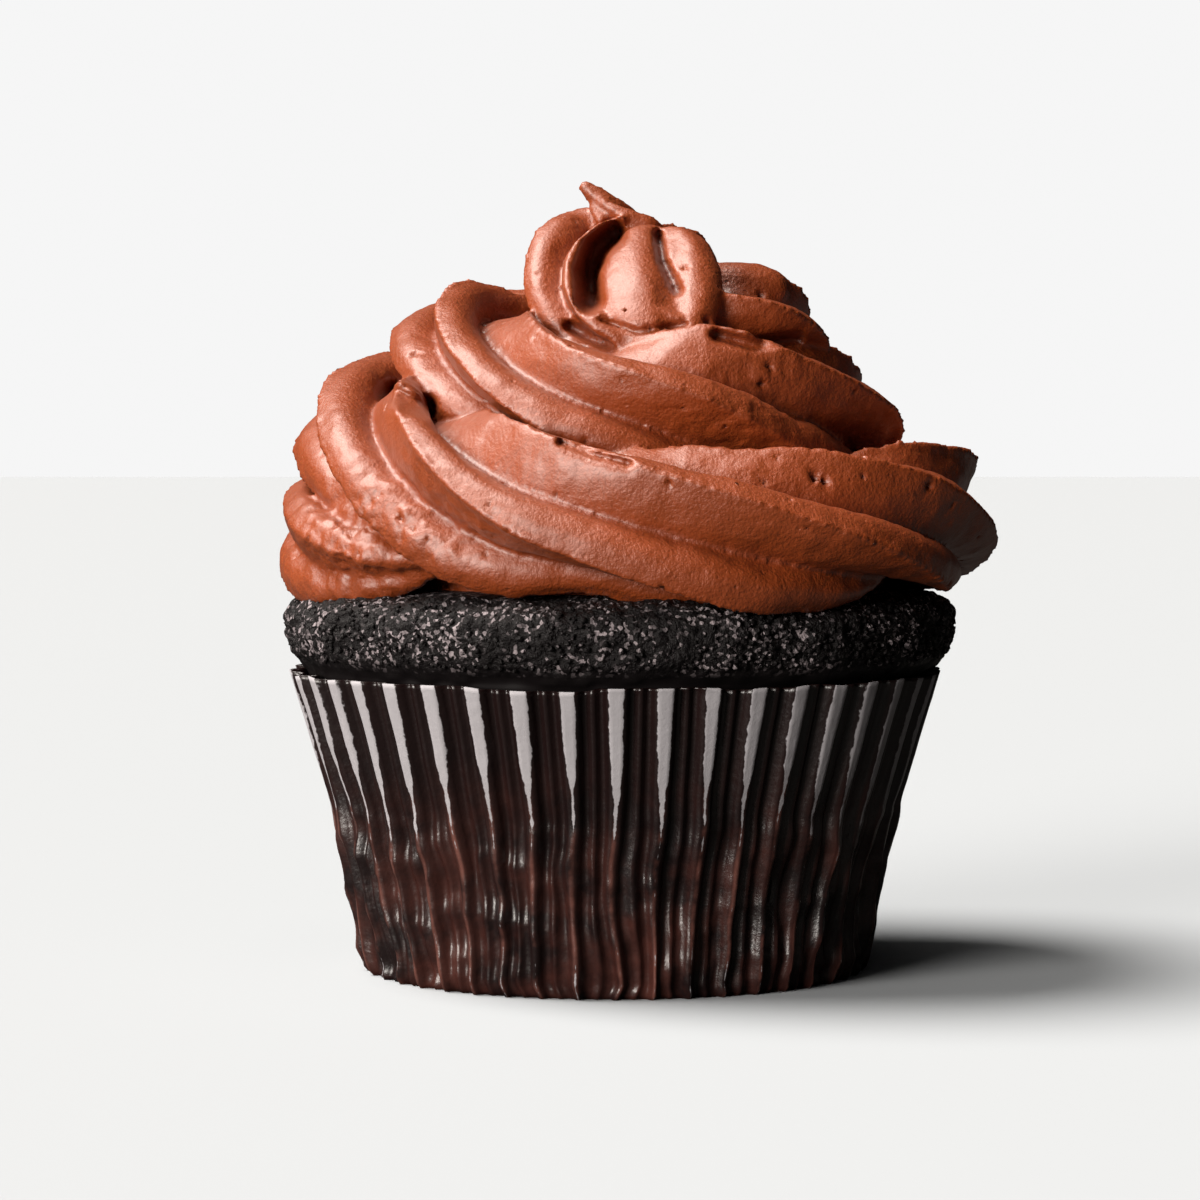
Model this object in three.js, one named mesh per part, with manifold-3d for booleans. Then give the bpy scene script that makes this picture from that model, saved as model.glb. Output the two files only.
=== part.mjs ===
import * as THREE from "three";
import Module from "manifold-3d";

// Cupcake with piped chocolate frosting in a pleated paper case.
// Units are millimetres, +Z is up, the case rests on z = 0 and the front faces -Y.

const CLEARANCE = 0.3; // air between neighbouring pieces
const WELD = 0.12; // details smaller than this are smoothed out of the joined frosting

// ---- paper case ----
const PLEATS = 44;
const PAPER = 0.45; // wall thickness
const CASE_HEIGHT = 30;
const CASE_BASE_CORNER = 1.5; // height of the rounded edge round the base
const CASE_KINK_HEIGHT = 17; // the wall flares more steeply above this height
const CASE_FOOT_RADIUS = 24.9; // edge of the flat base
const CASE_CORNER_RADIUS = 25.7; // ridge radius at the top of the base corner
const CASE_KINK_RADIUS = 28.6;
const CASE_RIM_RADIUS = 32.6;
const PLEAT_DEPTH_BASE = 0.7; // ridge to valley
const PLEAT_DEPTH_RIM = 1.05;
const RIDGE_SHARE_BASE = 0.12; // share of a pleat taken by the ridge's flat top
const RIDGE_SHARE_RIM = 0.36;
const FLANK_SHARE = 0.14; // share of a pleat taken by each sloping side

// ---- cake ----
const CAKE_FLOOR = PAPER + CLEARANCE;
const COLLAR_RADIUS = 33.2; // widest part of the crumb above the case
const COLLAR_HEIGHT = 35.2;
const COLLAR_SHIFT = 0.5; // the crumb above the case leans a little to the right
const CROWN_EDGE_RADIUS = 30.6;
const CROWN_EDGE_HEIGHT = 37.6;
const CROWN_HEIGHT = 39.2; // middle of the domed top, under the frosting
const COLLAR_WAVE = 0.22; // unevenness of the crumb edge
const CAKE_SIDES = 66;

// ---- piped frosting ----
const SWIRL_OFFSET = 2.5; // the swirl stands a little to the right of the case
const LOBES = 5; // points of the star nozzle
const VALLEY_PLACE = 0.47; // valley position between two crests, going upwards
const FACE_SLOPE = 0.25; // how straight the rounded face above a crest is
const UNDERSIDE_BEND = 1.4; // how hollow the underside of a crest is, 1 for straight
const TWIST = 1.373; // turns of the rope's section for each turn of the swirl
const TWIST_START = -250.8; // degrees
const TWIST_GAIN = 1.316; // extra twist while the nozzle is drawn to the middle
const TWIST_GAIN_FROM = 2.25;
const PEAK_TWIST = 200; // degrees from the foot of the peak to its tip
const PEAK_LOBES = 0.42; // valley depth as a share of the peak's radius
const PLACES = [0, 0.18, 0.34, VALLEY_PLACE, 0.74]; // points along one lobe
const SECTIONS_PER_TURN = 31;

// Stations along the rope. turn: 0 left, 0.25 back, 0.5 right, 0.75 front, and so on round.
// ring: distance from the swirl's axis, height: centre of the rope,
// wide and tall: half width and half height of the rope, all in millimetres.
// twist: radians that the section stands ahead of its even twist,
// lobes: valley depth as a share of the rope's half width.
const ROPE = [
  { turn: -0.14, ring: 28.6, height: 42.4, wide: 1.6, tall: 1.6, twist: 0, lobes: 0.3 },
  { turn: -0.09, ring: 29.2, height: 42.8, wide: 5, tall: 5.2, twist: 0, lobes: 0.3 },
  { turn: 0, ring: 29.8, height: 43.2, wide: 6.4, tall: 6.8, twist: 0.05, lobes: 0.34 },
  { turn: 0.25, ring: 28.5, height: 43.4, wide: 8.1, tall: 7.5, twist: 0.04, lobes: 0.38 },
  { turn: 0.5, ring: 26.9, height: 44, wide: 9, tall: 8.5, twist: -0.26, lobes: 0.42 },
  { turn: 0.65, ring: 28.4, height: 43, wide: 8.3, tall: 8.9, twist: 0.06, lobes: 0.48 },
  { turn: 0.8, ring: 28.3, height: 45.4, wide: 7.6, tall: 8.9, twist: -0.14, lobes: 0.44 },
  { turn: 1, ring: 24.8, height: 53.1, wide: 8.7, tall: 7.1, twist: 0.68, lobes: 0.46 },
  { turn: 1.25, ring: 20.5, height: 53.4, wide: 9.6, tall: 8, twist: 0.25, lobes: 0.46 },
  { turn: 1.5, ring: 15.5, height: 54, wide: 10.5, tall: 8.3, twist: 0.21, lobes: 0.46 },
  { turn: 1.65, ring: 16, height: 53.9, wide: 8.1, tall: 8.8, twist: 0.02, lobes: 0.46 },
  { turn: 1.8, ring: 17.9, height: 55.6, wide: 8.1, tall: 7.1, twist: -0.17, lobes: 0.46 },
  { turn: 2, ring: 17, height: 61.8, wide: 8, tall: 6, twist: 0.02, lobes: 0.52 },
  { turn: 2.5, ring: 9.2, height: 62.2, wide: 9.4, tall: 5.4, twist: 0.22, lobes: 0.5 },
  { turn: 2.75, ring: 9.5, height: 63.1, wide: 5.9, tall: 4.4, twist: -0.07, lobes: 0.5 },
  { turn: 3, ring: 5.1, height: 69.8, wide: 6.2, tall: 6.1, twist: 0.13, lobes: 0.55 },
  { turn: 3.5, ring: 3, height: 69.6, wide: 4.8, tall: 4.4, twist: -0.05, lobes: 0.5 },
];

// Where the rope swells or is pressed in. angle: degrees from outwards to upwards,
// length: reach in turns, spread: reach in degrees, gain: share of the rope's size.
const SWELLS = [
  { turn: -0.05, angle: -70, length: 0.1, spread: 40, gain: 0.15 },
  { turn: 0, angle: -10, length: 0.12, spread: 60, gain: 0.03 },
  { turn: 0.47, angle: 50, length: 0.06, spread: 24, gain: 0.14 },
  { turn: 0.52, angle: 24, length: 0.06, spread: 18, gain: -0.12 },
  { turn: 0.58, angle: -100, length: 0.09, spread: 50, gain: -0.6 },
  { turn: 0.67, angle: -75, length: 0.07, spread: 40, gain: -0.12 },
  { turn: 0.77, angle: -85, length: 0.045, spread: 45, gain: -0.32 },
  { turn: 1.02, angle: -20, length: 0.09, spread: 45, gain: 0.1 },
  { turn: 1.04, angle: 80, length: 0.08, spread: 35, gain: 0.22 },
  { turn: 1.7, angle: 85, length: 0.08, spread: 40, gain: 0.16 },
  { turn: 2.02, angle: 80, length: 0.1, spread: 40, gain: 0.14 },
  { turn: 2.5, angle: 77, length: 0.12, spread: 45, gain: 0.4 },
  { turn: 2.95, angle: 110, length: 0.1, spread: 40, gain: 0.09 },
];

// The pulled-up peak, from inside the top turn to the tip that leans to the left.
const PEAK = [
  { side: 2.6, height: 66.5, radius: 5.2 },
  { side: 2.2, height: 69.5, radius: 4.9 },
  { side: 1, height: 72.6, radius: 4 },
  { side: -0.4, height: 75, radius: 2.3 },
  { side: -1.7, height: 77, radius: 1.1 },
  { side: -3.3, height: 78.2, radius: 0.45 },
];

// Rounded folds of frosting beside the peak: two ends, half width, half thickness, crease.
const FOLD_FULLNESS = 0.65;
const FOLDS = [
  { from: [4, -15, 61.8], to: [4.6, -2.8, 73.4], width: 6.2, thickness: 3, crease: 0.42 },
  { from: [7.6, -1.5, 68], to: [17.2, 1, 67.6], width: 2.6, thickness: 2.6, crease: 0 },
];

// ---------------------------------------------------------------- helpers

function lerp(a, b, share) {
  return a + (b - a) * share;
}

// Closed body from stacked rings of points, with a flat cap on the first and last ring.
function stackRings(rings) {
  const count = rings[0].length;
  const positions = [];
  const indices = [];
  for (const ring of rings) {
    for (const p of ring) {
      positions.push(p.x, p.y, p.z);
    }
  }
  for (let row = 0; row + 1 < rings.length; row += 1) {
    for (let i = 0; i < count; i += 1) {
      const j = (i + 1) % count;
      const a = row * count + i;
      const b = row * count + j;
      // Each patch is split along its shorter diagonal.
      const ahead = rings[row][i].distanceTo(rings[row + 1][j]);
      const back = rings[row][j].distanceTo(rings[row + 1][i]);
      if (back < 0.999 * ahead) {
        indices.push(a, b, a + count);
        indices.push(b, b + count, a + count);
      } else {
        indices.push(a, b, b + count);
        indices.push(a, b + count, a + count);
      }
    }
  }
  addCap(positions, indices, rings[0], 0, true);
  addCap(positions, indices, rings[rings.length - 1], (rings.length - 1) * count, false);
  return toGeometry(positions, indices);
}

function addCap(positions, indices, ring, offset, first) {
  const middle = new THREE.Vector3();
  for (const p of ring) {
    middle.addScaledVector(p, 1 / ring.length);
  }
  const centre = positions.length / 3;
  positions.push(middle.x, middle.y, middle.z);
  for (let i = 0; i < ring.length; i += 1) {
    const j = (i + 1) % ring.length;
    if (first) {
      indices.push(centre, offset + j, offset + i);
    } else {
      indices.push(centre, offset + i, offset + j);
    }
  }
}

function toGeometry(positions, indices) {
  const geometry = new THREE.BufferGeometry();
  geometry.setAttribute("position", new THREE.Float32BufferAttribute(positions, 3));
  geometry.setIndex(indices);
  geometry.computeVertexNormals();
  return geometry;
}

function enclosedVolume(geometry) {
  const position = geometry.getAttribute("position");
  const index = geometry.getIndex();
  const a = new THREE.Vector3();
  const b = new THREE.Vector3();
  const c = new THREE.Vector3();
  let six = 0;
  for (let i = 0; i < index.count; i += 3) {
    a.fromBufferAttribute(position, index.getX(i));
    b.fromBufferAttribute(position, index.getX(i + 1));
    c.fromBufferAttribute(position, index.getX(i + 2));
    six += a.dot(b.cross(c));
  }
  return six / 6;
}

// Turns the faces outwards if the rings were stacked the other way round.
function facedOut(geometry) {
  if (enclosedVolume(geometry) < 0) {
    const index = geometry.getIndex();
    for (let i = 0; i < index.count; i += 3) {
      const keep = index.getX(i + 1);
      index.setX(i + 1, index.getX(i + 2));
      index.setX(i + 2, keep);
    }
    geometry.computeVertexNormals();
  }
  return geometry;
}

// ---------------------------------------------------------------- solid joins and cuts

const wasm = await Module();
wasm.setup();

function toSolid(geometry) {
  const vertProperties = new Float32Array(geometry.getAttribute("position").array);
  const triVerts = new Uint32Array(geometry.getIndex().array);
  return new wasm.Manifold(new wasm.Mesh({ numProp: 3, vertProperties, triVerts }));
}

function fromSolid(solid) {
  const mesh = solid.getMesh();
  return toGeometry(Array.from(mesh.vertProperties), Array.from(mesh.triVerts));
}

// The one outer shell: leaves out loose slivers and closed bubbles inside.
function outerShell(solid) {
  const parts = solid.decompose();
  return parts.reduce((best, part) => (part.volume() > best.volume() ? part : best));
}

// ---------------------------------------------------------------- paper case

function ridgeRadius(z) {
  if (z <= CASE_BASE_CORNER) {
    return lerp(CASE_FOOT_RADIUS, CASE_CORNER_RADIUS, Math.sqrt(z / CASE_BASE_CORNER));
  }
  if (z <= CASE_KINK_HEIGHT) {
    const share = (z - CASE_BASE_CORNER) / (CASE_KINK_HEIGHT - CASE_BASE_CORNER);
    return lerp(CASE_CORNER_RADIUS, CASE_KINK_RADIUS, share);
  }
  const share = (z - CASE_KINK_HEIGHT) / (CASE_HEIGHT - CASE_KINK_HEIGHT);
  return lerp(CASE_KINK_RADIUS, CASE_RIM_RADIUS, share);
}

function pleatDepth(z) {
  return lerp(PLEAT_DEPTH_BASE, PLEAT_DEPTH_RIM, z / CASE_HEIGHT);
}

function valleyRadius(z) {
  return ridgeRadius(z) - pleatDepth(z);
}

// One ring of the fluted wall; inset moves it inwards by the paper's thickness.
function caseRing(z, inset) {
  const pitch = (2 * Math.PI) / PLEATS;
  const ridge = lerp(RIDGE_SHARE_BASE, RIDGE_SHARE_RIM, z / CASE_HEIGHT);
  const outer = ridgeRadius(z) - inset;
  const inner = valleyRadius(z) - inset;
  const ring = [];
  for (let i = 0; i < PLEATS; i += 1) {
    const corners = [
      [-ridge / 2 - FLANK_SHARE, inner],
      [-ridge / 2, outer],
      [ridge / 2, outer],
      [ridge / 2 + FLANK_SHARE, inner],
    ];
    for (const [share, radius] of corners) {
      const angle = (i + share) * pitch;
      ring.push(new THREE.Vector3(radius * Math.cos(angle), radius * Math.sin(angle), z));
    }
  }
  return ring;
}

function paperCase() {
  const heights = [CASE_BASE_CORNER, CASE_KINK_HEIGHT, CASE_HEIGHT];
  const outside = heights.map((z) => caseRing(z, 0));
  const inside = heights.map((z) => caseRing(z, PAPER)).reverse();
  const rings = [caseRing(0, 0), ...outside, ...inside, caseRing(PAPER, PAPER)];
  return facedOut(stackRings(rings));
}

// ---------------------------------------------------------------- cake

// Outline of the cake from the middle of its floor to the middle of its domed top.
function cakeOutline() {
  const wall = PAPER + CLEARANCE;
  const outline = [];
  const low = CASE_BASE_CORNER + 0.6;
  outline.push([CASE_FOOT_RADIUS - 1.8, CAKE_FLOOR]);
  outline.push([valleyRadius(low) - wall - 0.1, low]);
  outline.push([valleyRadius(9) - wall, 9]);
  outline.push([valleyRadius(CASE_KINK_HEIGHT) - wall - 0.1, CASE_KINK_HEIGHT]);
  outline.push([valleyRadius(24) - wall, 24]);
  outline.push([valleyRadius(CASE_HEIGHT) - wall - 0.1, CASE_HEIGHT + 0.2]);
  outline.push([COLLAR_RADIUS - 0.9, CASE_HEIGHT + 1.5]);
  outline.push([COLLAR_RADIUS - 0.15, CASE_HEIGHT + 3.2]);
  outline.push([COLLAR_RADIUS, COLLAR_HEIGHT]);
  outline.push([COLLAR_RADIUS - 0.9, COLLAR_HEIGHT + 1.5]);
  outline.push([CROWN_EDGE_RADIUS, CROWN_EDGE_HEIGHT]);
  return outline;
}

function cakeRing(radius, z, lift) {
  const ring = [];
  const exposed = z > CASE_HEIGHT + 1 && z < CROWN_EDGE_HEIGHT - 0.1;
  for (let i = 0; i < CAKE_SIDES; i += 1) {
    const angle = (2 * Math.PI * i) / CAKE_SIDES;
    const wave = Math.sin(7 * angle + z) + Math.sin(17 * angle - 2 * z) + Math.sin(31 * angle);
    const r = radius + lift + (exposed ? (wave * COLLAR_WAVE) / 2 : 0);
    const shift = z > CASE_HEIGHT + 1 ? COLLAR_SHIFT : 0;
    ring.push(new THREE.Vector3(shift + r * Math.cos(angle), r * Math.sin(angle), z));
  }
  return ring;
}

function cake() {
  const rings = cakeOutline().map(([radius, z]) => cakeRing(radius, z, 0));
  const shoulder = (CROWN_HEIGHT - CROWN_EDGE_HEIGHT) * 0.7;
  rings.push(cakeRing(CROWN_EDGE_RADIUS * 0.55, CROWN_EDGE_HEIGHT + shoulder, 0));
  rings.push(cakeRing(CROWN_EDGE_RADIUS * 0.1, CROWN_HEIGHT, 0));
  return facedOut(stackRings(rings));
}

// Everything the frosting has to stay clear of: the cake grown by the clearance.
function cakeWithClearance() {
  const rings = [];
  rings.push(cakeRing(COLLAR_RADIUS + 8, CASE_HEIGHT, 0));
  rings.push(cakeRing(COLLAR_RADIUS + 8, COLLAR_HEIGHT + 0.9, 0));
  rings.push(cakeRing(COLLAR_RADIUS - 0.9, COLLAR_HEIGHT + 1.5 + CLEARANCE, CLEARANCE));
  rings.push(cakeRing(CROWN_EDGE_RADIUS, CROWN_EDGE_HEIGHT + CLEARANCE, CLEARANCE));
  const shoulder = (CROWN_HEIGHT - CROWN_EDGE_HEIGHT) * 0.7;
  rings.push(cakeRing(CROWN_EDGE_RADIUS * 0.55, CROWN_EDGE_HEIGHT + shoulder + CLEARANCE, 0));
  rings.push(cakeRing(CROWN_EDGE_RADIUS * 0.1, CROWN_HEIGHT + CLEARANCE, 0));
  return facedOut(stackRings(rings));
}

// ---------------------------------------------------------------- frosting

// Smooth curve through the stations that never swings past them.
function stationValue(key, turn) {
  const last = ROPE.length - 1;
  let i = 0;
  while (i < last - 1 && turn >= ROPE[i + 1].turn) {
    i += 1;
  }
  const span = ROPE[i + 1].turn - ROPE[i].turn;
  const u = (turn - ROPE[i].turn) / span;
  const from = stationSlope(key, i) * span;
  const to = stationSlope(key, i + 1) * span;
  const a = ROPE[i][key];
  const b = ROPE[i + 1][key];
  const rest = 1 - u;
  return (1 + 2 * u) * rest * rest * a + u * rest * rest * from
    + u * u * (3 - 2 * u) * b - u * u * rest * to;
}

function stationSlope(key, i) {
  const chord = (k) => (ROPE[k + 1][key] - ROPE[k][key]) / (ROPE[k + 1].turn - ROPE[k].turn);
  if (i === 0) {
    return chord(0);
  }
  if (i === ROPE.length - 1) {
    return chord(i - 1);
  }
  const before = chord(i - 1);
  const after = chord(i);
  if (before * after <= 0) {
    return 0;
  }
  const spanBefore = ROPE[i].turn - ROPE[i - 1].turn;
  const spanAfter = ROPE[i + 1].turn - ROPE[i].turn;
  const mixed = (before * spanAfter + after * spanBefore) / (spanBefore + spanAfter);
  const limit = 3 * Math.min(Math.abs(before), Math.abs(after));
  return Math.max(-limit, Math.min(limit, mixed));
}

function outwards(turn) {
  const angle = -Math.PI / 2 - 2 * Math.PI * turn;
  return new THREE.Vector3(Math.sin(angle), -Math.cos(angle), 0);
}

function ropeCentre(turn) {
  const centre = outwards(turn).multiplyScalar(stationValue("ring", turn));
  centre.x += SWIRL_OFFSET;
  centre.z = stationValue("height", turn);
  return centre;
}

// Reach of the nozzle's section, 1 at a crest; place runs 0 to 1 from one crest to the next.
function lobeReach(place, depth) {
  if (place < VALLEY_PLACE) {
    const u = place / VALLEY_PLACE;
    return 1 - depth * (FACE_SLOPE * u + (1 - FACE_SLOPE) * u ** 3);
  }
  const u = (place - VALLEY_PLACE) / (1 - VALLEY_PLACE);
  return 1 - depth * (1 - u ** UNDERSIDE_BEND);
}

// How much further than its station's size the rope reaches at an angle, in degrees.
function ropeSwell(turn, angle) {
  return SWELLS.reduce((gain, swell) => {
    const aside = THREE.MathUtils.euclideanModulo(angle - swell.angle + 180, 360) - 180;
    const along = (turn - swell.turn) / swell.length;
    const across = aside / swell.spread;
    return gain + swell.gain * Math.exp(-along * along - across * across);
  }, 1);
}

function ropeTwist(turn) {
  const gain = Math.max(turn, TWIST_GAIN_FROM) - TWIST_GAIN_FROM;
  return 2 * Math.PI * TWIST * turn + THREE.MathUtils.degToRad(TWIST_START)
    + TWIST_GAIN * gain * gain + stationValue("twist", turn);
}

function ropeSection(turn) {
  const first = ROPE[0].turn;
  const last = ROPE[ROPE.length - 1].turn;
  const step = 0.001;
  const ahead = ropeCentre(Math.min(turn + step, last));
  const along = ahead.sub(ropeCentre(Math.max(turn - step, first))).normalize();
  const side = outwards(turn);
  side.addScaledVector(along, -side.dot(along)).normalize();
  const up = new THREE.Vector3().crossVectors(along, side).normalize();
  const centre = ropeCentre(turn);
  const wide = stationValue("wide", turn);
  const tall = stationValue("tall", turn);
  const depth = stationValue("lobes", turn);
  const inside = -0.75 * stationValue("ring", turn);
  const ring = [];
  for (let lobe = 0; lobe < LOBES; lobe += 1) {
    for (const place of PLACES) {
      const angle = ropeTwist(turn) + (2 * Math.PI * (lobe + place)) / LOBES;
      const swell = ropeSwell(turn, THREE.MathUtils.radToDeg(angle));
      const reach = lobeReach(place, depth) * swell;
      const across = Math.max(wide * reach * Math.cos(angle), inside);
      const point = centre.clone();
      point.addScaledVector(side, across);
      point.addScaledVector(up, tall * reach * Math.sin(angle));
      ring.push(point);
    }
  }
  return ring;
}

function ropePieces() {
  const first = ROPE[0].turn;
  const last = ROPE[ROPE.length - 1].turn;
  const count = Math.round((last - first) * SECTIONS_PER_TURN);
  const sections = [];
  for (let i = 0; i <= count; i += 1) {
    sections.push(ropeSection(lerp(first, last, i / count)));
  }
  const pieces = [];
  let start = 0;
  while (start < count) {
    const turn = lerp(first, last, start / count);
    const length = turn < 2.4 ? 7 : 2;
    const end = Math.min(start + length, count);
    pieces.push(toSolid(facedOut(stackRings(sections.slice(start, end + 1)))));
    start = end;
  }
  return pieces;
}

// The nozzle's section drawn straight up and bent over at the tip.
function peak() {
  const rings = PEAK.map(({ side, height, radius }, row) => {
    const before = PEAK[Math.max(row - 1, 0)];
    const after = PEAK[Math.min(row + 1, PEAK.length - 1)];
    const lean = Math.atan2(after.side - before.side, after.height - before.height);
    const twist = THREE.MathUtils.degToRad((PEAK_TWIST * row) / (PEAK.length - 1));
    const ring = [];
    for (let lobe = 0; lobe < LOBES; lobe += 1) {
      for (const place of PLACES) {
        const angle = -twist - (2 * Math.PI * (lobe + place)) / LOBES;
        const reach = radius * lobeReach(place, PEAK_LOBES);
        const across = reach * Math.cos(angle);
        const x = side + across * Math.cos(lean);
        const z = height - across * Math.sin(lean);
        ring.push(new THREE.Vector3(x, reach * Math.sin(angle), z));
      }
    }
    return ring;
  });
  return toSolid(facedOut(stackRings(rings)));
}

// Hidden filling between the turns, kept behind the visible rope.
function heart() {
  const outline = [[24, 37], [25.5, 42], [21, 50], [18, 57], [15.5, 61], [8, 66], [3, 72]];
  const rings = outline.map(([radius, z]) => {
    const ring = [];
    for (let i = 0; i < 40; i += 1) {
      const angle = (2 * Math.PI * i) / 40;
      const x = SWIRL_OFFSET + radius * Math.cos(angle);
      ring.push(new THREE.Vector3(x, radius * Math.sin(angle), z));
    }
    return ring;
  });
  return toSolid(facedOut(stackRings(rings)));
}

// A rounded fold between two ends, creased along its front.
function fold({ from, to, width, thickness, crease }) {
  const start = new THREE.Vector3(...from);
  const end = new THREE.Vector3(...to);
  const along = end.clone().sub(start);
  const side = new THREE.Vector3().crossVectors(along, new THREE.Vector3(0, -1, 0)).normalize();
  const up = new THREE.Vector3().crossVectors(side, along).normalize();
  const rings = [];
  for (let row = 0; row < 9; row += 1) {
    const turn = lerp(0.08, Math.PI - 0.08, row / 8);
    const share = (1 - Math.cos(turn)) / 2;
    const middle = start.clone().addScaledVector(along, share);
    const swell = Math.sin(turn) ** FOLD_FULLNESS;
    const ring = [];
    for (let i = 0; i < 24; i += 1) {
      const angle = (2 * Math.PI * i) / 24;
      const aside = (Math.cos(angle) - 0.34 + 0.3 * share) / 0.3;
      const dent = Math.sin(angle) > 0 ? 1 - crease * Math.exp(-aside * aside) : 1;
      const point = middle.clone();
      point.addScaledVector(side, width * swell * Math.cos(angle));
      point.addScaledVector(up, thickness * dent * swell * Math.sin(angle));
      ring.push(point);
    }
    rings.push(ring);
  }
  return toSolid(facedOut(stackRings(rings)));
}

function frosting() {
  const bodies = [...ropePieces(), heart(), peak(), ...FOLDS.map(fold)];
  const joined = wasm.Manifold.union(bodies);
  const cut = joined.subtract(toSolid(cakeWithClearance()));
  return fromSolid(outerShell(cut.simplify(WELD)));
}

// ---------------------------------------------------------------- assembly

function named(name, geometry, colour, roughness) {
  const flat = geometry.toNonIndexed();
  flat.computeVertexNormals();
  const material = new THREE.MeshStandardMaterial({ color: colour, roughness, metalness: 0 });
  material.name = name;
  const mesh = new THREE.Mesh(flat, material);
  mesh.name = name;
  return mesh;
}

const cupcake = new THREE.Group();
cupcake.name = "cupcake";
cupcake.add(named("paper_case", paperCase(), "#5a3a30", 0.6));
cupcake.add(named("cake", cake(), "#1d1310", 0.9));
cupcake.add(named("frosting", frosting(), "#9a5236", 0.45));

export default cupcake;
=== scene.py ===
import math

import bmesh
import bpy
import numpy as np
from bpy.props import FloatProperty, FloatVectorProperty, IntProperty, PointerProperty
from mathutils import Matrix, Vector


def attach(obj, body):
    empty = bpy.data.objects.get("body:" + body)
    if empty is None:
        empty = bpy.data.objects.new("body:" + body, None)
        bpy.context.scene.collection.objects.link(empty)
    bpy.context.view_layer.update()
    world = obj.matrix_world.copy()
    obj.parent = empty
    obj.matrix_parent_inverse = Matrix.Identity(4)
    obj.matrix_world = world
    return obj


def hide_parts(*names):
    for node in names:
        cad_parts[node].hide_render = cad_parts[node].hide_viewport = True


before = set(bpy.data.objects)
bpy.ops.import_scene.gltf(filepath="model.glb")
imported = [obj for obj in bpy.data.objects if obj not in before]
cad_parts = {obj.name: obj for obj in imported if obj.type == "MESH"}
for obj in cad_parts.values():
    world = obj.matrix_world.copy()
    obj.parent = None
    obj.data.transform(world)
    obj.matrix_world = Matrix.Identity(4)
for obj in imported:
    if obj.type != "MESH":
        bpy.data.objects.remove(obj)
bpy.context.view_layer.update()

bl_info = {
    "name": "Piped cupcake",
    "version": (1, 0, 0),
    "blender": (4, 5, 0),
    "location": "3D View > Sidebar > Cupcake",
    "description": "Chocolate cupcake in a pleated paper case with a piped swirl of frosting",
    "category": "Object",
}

MM = 0.001  # one millimetre in metres

# ---- paper case, in millimetres ----
CASE_HEIGHT = 30.0
CASE_BASE_CORNER = 1.5
CASE_KINK_HEIGHT = 17.0
CASE_FOOT_RADIUS = 24.9
CASE_CORNER_RADIUS = 25.7
CASE_KINK_RADIUS = 28.6
CASE_RIM_RADIUS = 32.6
PLEAT_DEPTH_BASE = 0.8
PLEAT_DEPTH_RIM = 1.25
COLUMNS_PER_PLEAT = 16
CASE_ROWS = 66
# Bends of the ridges between foot and rim: height and radius.
CASE_BENDS = (
    (0.5, CASE_FOOT_RADIUS + 0.45),
    (CASE_BASE_CORNER, CASE_CORNER_RADIUS - 0.05),
    (CASE_KINK_HEIGHT, CASE_KINK_RADIUS),
)
# The paper is soaked below the first height and dry above the second.
SOAKED_HEIGHTS = (13.5, 20.5)
DRY_CREASING = 0.12  # share of the soaked paper's creases that the dry paper keeps
CREASE_RING = 26.0  # radius that the creases are measured on
# Layers of the crumpling: depth, width of one crease, seed.
CREASES = ((0.42, 5.6, 31), (0.36, 3.0, 32), (0.16, 1.5, 33))
SWAYS = ((0.55, 6.5, 34), (0.22, 2.4, 35))
# Half width of a dry strip over its share of the wall's height.
STRIP_TAPER = ((0.54, 0.0), (0.57, 0.16), (0.64, 0.20), (0.72, 0.55), (0.80, 0.72))
STRIP_TOP = 0.86

# ---- cake, in millimetres ----
COLLAR_RADIUS = 33.2
COLLAR_HEIGHT = 35.2
COLLAR_SHIFT = 0.5
CROWN_EDGE_RADIUS = 30.6
CROWN_EDGE_HEIGHT = 37.6
CROWN_HEIGHT = 39.2
CAKE_COLUMNS = 1080
CAKE_STEP = 0.2
# Radius and height from the middle of the floor to the middle of the top.
CAKE_WALL = ((0.5, 0.75), (12, 0.75), (22.8, 0.75), (24.0, 2.2), (25.2, 9), (26.6, 17),
             (28.9, 24), (30.3, 28.5))
CAKE_BAND = ((30.6, 29.6), (31.0, 30.2), (31.9, 31.0), (32.6, 32.0), (33.0, 33.2),
             (33.2, 34.6), (33.15, 35.6), (32.8, 36.4), (32.1, 36.95), (31.2, 37.35),
             (30.2, 37.65), (29.0, 37.85), (27.6, 38.05))
CAKE_TOP = ((22, 38.5), (12, 38.9), (0.5, 39.15))
# Layers of relief on the rim, and of its open crumb: depth, cell, seed.
CAKE_RELIEF = ((0.28, 5.0, 21), (0.20, 1.6, 22))
CRUMB_RELIEF = ((0.26, 0.8, 23), (0.20, 0.45, 24))
# The band that loose crumbs lie on: radius and height, and its width.
CRUMB_BAND = ((32.4, 31.6), (33.1, 33.4), (33.2, 35.0), (32.7, 36.5), (31.0, 37.4))
CRUMB_BAND_WIDTH = 7.0

# ---- the place it is looked at from, in millimetres ----
VIEW_DISTANCE = 420.0
VIEW_HEIGHT = 56.0
VIEW_SIDE = -1.5
VIEW_TILT = 2.617  # degrees down
LENS = 126.0
SENSOR = 36.0

# ---- the studio ----
FLOOR_REACH = 3000  # millimetres from the middle to each side
WALL_TO_THE_EYE = 0.92
WALL_TO_THE_REST = 0.008
# Lamps: name, the direction they stand in, width in degrees, strength.
LAMPS = (
    ("window", (-0.64, -0.74, 0.20), 32, 5.4),
    ("softbox", (-0.50, 0.02, 0.87), 38, 6.3),
    ("overhead", (-0.10, -0.15, 0.98), 45, 0.3),
)
LAMP_COLOUR = "#fff8f0"

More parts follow.
